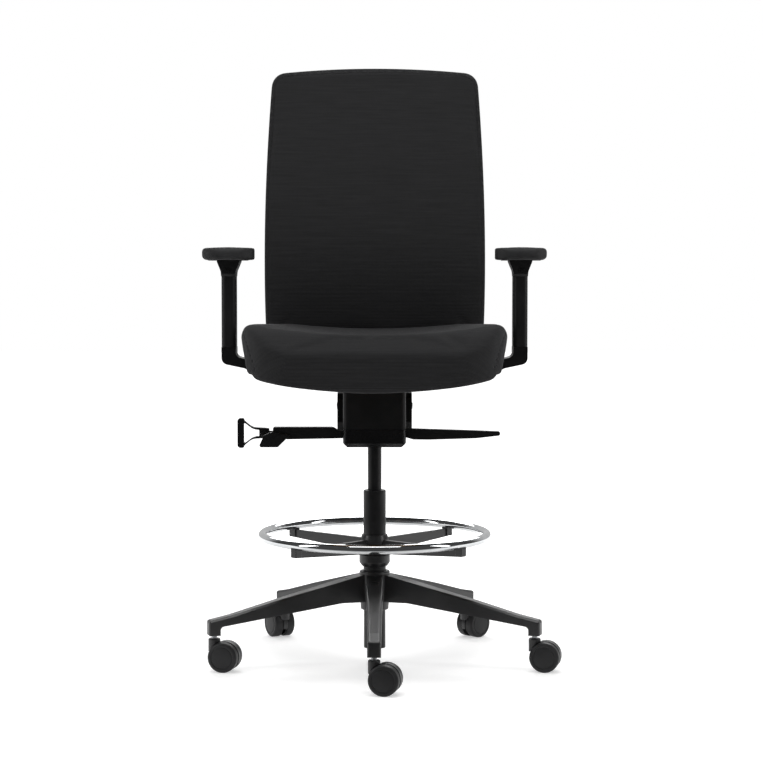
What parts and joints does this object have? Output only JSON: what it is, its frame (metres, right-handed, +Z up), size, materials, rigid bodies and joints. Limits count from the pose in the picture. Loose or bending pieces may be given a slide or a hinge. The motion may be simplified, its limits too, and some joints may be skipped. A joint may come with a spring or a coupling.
{
  "type": "drafting chair",
  "caption": "Tall swivel drafting chair with five-star castor base, foot ring, gas lift, tilting upholstered seat and back, and height-adjustable armrests.",
  "frame": {"origin": "on the floor, under the axis of the column", "axes": "+Z up along the column, the sitter faces -Y, +X to the sitter's left"},
  "size_m": [0.7176, 0.6983, 1.226],
  "materials": {
    "upholstery": "fine ribbed black weave",
    "ring_chrome": "bright chrome plate",
    "bright_steel": "turned and zinc-plated",
    "cover_nylon": "moulded, half gloss",
    "column_enamel": "black powder coat",
    "frame_enamel": "black powder coat",
    "plywood": "pressed beech plywood, unfinished",
    "tread_nylon": "moulded",
    "shell_plastic": "fine moulded grain",
    "arm_nylon": "fine moulded grain",
    "pad_skin": "self-skinned foam, soft matte",
    "control_nylon": "moulded, slight sheen",
    "base_nylon": "glass-filled, satin"
  },
  "bodies": {
    "base": {"base_star": "base_nylon", "column_tube": "column_enamel", "column_bush": "base_nylon", "column_bearing": "bright_steel", "castor_stems": "bright_steel"},
    "piston": {"piston_rod": "bright_steel"},
    "lift": {"gas_cylinder": "column_enamel", "mech_housing": "frame_enamel", "mech_cover": "cover_nylon", "tilt_shaft": "bright_steel", "recline_springs": "bright_steel", "seat_pivot_shaft": "bright_steel"},
    "release_pin": {"release_pin": "bright_steel"},
    "height_lever": {"height_lever": "control_nylon"},
    "lock_lever": {"lock_lever": "control_nylon"},
    "lock_plate": {"lock_plate": "frame_enamel"},
    "tension_crank": {"tension_crank": "control_nylon"},
    "tension_nut": {"tension_nut": "bright_steel"},
    "seat": {"seat_plate": "frame_enamel", "seat_pan": "plywood", "seat_cushion": "upholstery", "seat_bolts": "bright_steel", "arm_bracket_left": "frame_enamel", "arm_bracket_right": "frame_enamel"},
    "back": {"back_carrier": "frame_enamel", "back_shell": "shell_plastic", "back_cushion": "upholstery", "back_screws": "bright_steel"},
    "foot_ring": {"foot_ring_tube": "ring_chrome", "foot_ring_spider": "base_nylon", "foot_ring_screws": "bright_steel"},
    "ring_collar": {"foot_ring_collar": "base_nylon"},
    "armrest_left": {"arm_sleeve_left": "arm_nylon", "arm_pad_plate_left": "arm_nylon", "arm_pad_left": "pad_skin"},
    "arm_button_left": {"arm_button_left": "control_nylon"},
    "armrest_right": {"arm_sleeve_right": "arm_nylon", "arm_pad_plate_right": "arm_nylon", "arm_pad_right": "pad_skin"},
    "arm_button_right": {"arm_button_right": "control_nylon"},
    "castor_front": {"castor_front_hood": "base_nylon", "castor_front_axle": "bright_steel"},
    "castor_front_wheel_a": {"castor_front_wheel_a": "tread_nylon"},
    "castor_front_wheel_b": {"castor_front_wheel_b": "tread_nylon"},
    "castor_front_left": {"castor_front_left_hood": "base_nylon", "castor_front_left_axle": "bright_steel"},
    "castor_front_left_wheel_a": {"castor_front_left_wheel_a": "tread_nylon"},
    "castor_front_left_wheel_b": {"castor_front_left_wheel_b": "tread_nylon"},
    "castor_rear_left": {"castor_rear_left_hood": "base_nylon", "castor_rear_left_axle": "bright_steel"},
    "castor_rear_left_wheel_a": {"castor_rear_left_wheel_a": "tread_nylon"},
    "castor_rear_left_wheel_b": {"castor_rear_left_wheel_b": "tread_nylon"},
    "castor_rear_right": {"castor_rear_right_hood": "base_nylon", "castor_rear_right_axle": "bright_steel"},
    "castor_rear_right_wheel_a": {"castor_rear_right_wheel_a": "tread_nylon"},
    "castor_rear_right_wheel_b": {"castor_rear_right_wheel_b": "tread_nylon"},
    "castor_front_right": {"castor_front_right_hood": "base_nylon", "castor_front_right_axle": "bright_steel"},
    "castor_front_right_wheel_a": {"castor_front_right_wheel_a": "tread_nylon"},
    "castor_front_right_wheel_b": {"castor_front_right_wheel_b": "tread_nylon"}
  },
  "joints": [
    {"name": "swivel", "type": "hinge", "parent": "base", "child": "piston", "pos_m": [0, 0, 0.045], "axis": [0, 0, 1], "continuous": true},
    {"name": "lift_height", "type": "slide", "parent": "piston", "child": "lift", "axis": [0, 0, 1], "range_m": [-0.085, 0.14]},
    {"name": "recline", "type": "hinge", "parent": "lift", "child": "back", "pos_m": [0, 0.038, 0.522], "axis": [-1, 0, 0], "range_deg": [0, 20], "stiffness_Nm_per_rad": 60, "springref_deg": -28.65},
    {"name": "seat_tilt", "type": "hinge", "parent": "lift", "child": "seat", "pos_m": [0, -0.082, 0.562], "axis": [-1, 0, 0], "range_deg": [0, 8]},
    {"name": "height_lever_lift", "type": "hinge", "parent": "lift", "child": "height_lever", "pos_m": [-0.048, -0.056, 0.476], "axis": [0, 1, 0], "range_deg": [0, 6], "stiffness_Nm_per_rad": 4},
    {"name": "release_pin_press", "type": "slide", "parent": "lift", "child": "release_pin", "axis": [0, 0, -1], "range_m": [0, 0.0056]},
    {"name": "lock_lever_lift", "type": "hinge", "parent": "lift", "child": "lock_lever", "pos_m": [0.046, -0.045, 0.471], "axis": [0, -1, 0], "range_deg": [0, 10]},
    {"name": "lock_plate_slide", "type": "slide", "parent": "lift", "child": "lock_plate", "axis": [-1, 0, 0], "range_m": [0, 0.0095]},
    {"name": "tension_crank_turn", "type": "hinge", "parent": "lift", "child": "tension_crank", "pos_m": [-0.1, -0.033, 0.472], "axis": [1, 0, 0], "range_deg": [-1080, 1080]},
    {"name": "tension_nut_travel", "type": "slide", "parent": "lift", "child": "tension_nut", "axis": [1, 0, 0], "range_m": [-0.006, 0.006]},
    {"name": "foot_ring_height", "type": "slide", "parent": "base", "child": "foot_ring", "axis": [0, 0, 1], "range_m": [0, 0.08]},
    {"name": "ring_collar_turn", "type": "hinge", "parent": "foot_ring", "child": "ring_collar", "pos_m": [0, 0, 0.21], "axis": [0, 0, 1], "range_deg": [0, 60]},
    {"name": "armrest_height_left", "type": "slide", "parent": "seat", "child": "armrest_left", "axis": [0, 0, 1], "range_m": [0, 0.08]},
    {"name": "arm_button_press_left", "type": "slide", "parent": "armrest_left", "child": "arm_button_left", "axis": [0, 1, 0], "range_m": [0, 0.003], "stiffness_N_per_m": 400},
    {"name": "armrest_height_right", "type": "slide", "parent": "seat", "child": "armrest_right", "axis": [0, 0, 1], "range_m": [0, 0.08]},
    {"name": "arm_button_press_right", "type": "slide", "parent": "armrest_right", "child": "arm_button_right", "axis": [0, 1, 0], "range_m": [0, 0.003], "stiffness_N_per_m": 400},
    {"name": "castor_front_swivel", "type": "hinge", "parent": "base", "child": "castor_front", "pos_m": [0, -0.337, 0.06], "axis": [0, 0, 1], "continuous": true},
    {"name": "castor_front_wheel_a_roll", "type": "hinge", "parent": "castor_front", "child": "castor_front_wheel_a", "pos_m": [0.02144, -0.34195, 0.03], "axis": [0.225, 0.9744, 0], "continuous": true},
    {"name": "castor_front_wheel_b_roll", "type": "hinge", "parent": "castor_front", "child": "castor_front_wheel_b", "pos_m": [0.02144, -0.34195, 0.03], "axis": [0.225, 0.9744, 0], "continuous": true},
    {"name": "castor_front_left_swivel", "type": "hinge", "parent": "base", "child": "castor_front_left", "pos_m": [0.32051, -0.10414, 0.06], "axis": [0, 0, 1], "continuous": true},
    {"name": "castor_front_left_wheel_a_roll", "type": "hinge", "parent": "castor_front_left", "child": "castor_front_left_wheel_a", "pos_m": [0.34194, -0.10909, 0.03], "axis": [0.225, 0.9744, 0], "continuous": true},
    {"name": "castor_front_left_wheel_b_roll", "type": "hinge", "parent": "castor_front_left", "child": "castor_front_left_wheel_b", "pos_m": [0.34194, -0.10909, 0.03], "axis": [0.225, 0.9744, 0], "continuous": true},
    {"name": "castor_rear_left_swivel", "type": "hinge", "parent": "base", "child": "castor_rear_left", "pos_m": [0.19808, 0.27264, 0.06], "axis": [0, 0, 1], "continuous": true},
    {"name": "castor_rear_left_wheel_a_roll", "type": "hinge", "parent": "castor_rear_left", "child": "castor_rear_left_wheel_a", "pos_m": [0.21417, 0.28764, 0.03], "axis": [-0.682, 0.7314, 0], "continuous": true},
    {"name": "castor_rear_left_wheel_b_roll", "type": "hinge", "parent": "castor_rear_left", "child": "castor_rear_left_wheel_b", "pos_m": [0.21417, 0.28764, 0.03], "axis": [-0.682, 0.7314, 0], "continuous": true},
    {"name": "castor_rear_right_swivel", "type": "hinge", "parent": "base", "child": "castor_rear_right", "pos_m": [-0.19808, 0.27264, 0.06], "axis": [0, 0, 1], "continuous": true},
    {"name": "castor_rear_right_wheel_a_roll", "type": "hinge", "parent": "castor_rear_right", "child": "castor_rear_right_wheel_a", "pos_m": [-0.20875, 0.29188, 0.03], "axis": [-0.8746, -0.4848, 0], "continuous": true},
    {"name": "castor_rear_right_wheel_b_roll", "type": "hinge", "parent": "castor_rear_right", "child": "castor_rear_right_wheel_b", "pos_m": [-0.20875, 0.29188, 0.03], "axis": [-0.8746, -0.4848, 0], "continuous": true},
    {"name": "castor_front_right_swivel", "type": "hinge", "parent": "base", "child": "castor_front_right", "pos_m": [-0.32051, -0.10414, 0.06], "axis": [0, 0, 1], "continuous": true},
    {"name": "castor_front_right_wheel_a_roll", "type": "hinge", "parent": "castor_front_right", "child": "castor_front_right_wheel_a", "pos_m": [-0.29907, -0.10909, 0.03], "axis": [0.225, 0.9744, 0], "continuous": true},
    {"name": "castor_front_right_wheel_b_roll", "type": "hinge", "parent": "castor_front_right", "child": "castor_front_right_wheel_b", "pos_m": [-0.29907, -0.10909, 0.03], "axis": [0.225, 0.9744, 0], "continuous": true}
  ],
  "couplings": [
    {"joint": "seat_tilt", "follows": "recline", "ratio": 0.4},
    {"joint": "release_pin_press", "follows": "height_lever_lift", "m_per_rad": 0.053},
    {"joint": "lock_plate_slide", "follows": "lock_lever_lift", "m_per_rad": 0.053},
    {"joint": "tension_nut_travel", "follows": "tension_crank_turn", "m_per_rad": 0.00031831}
  ]
}
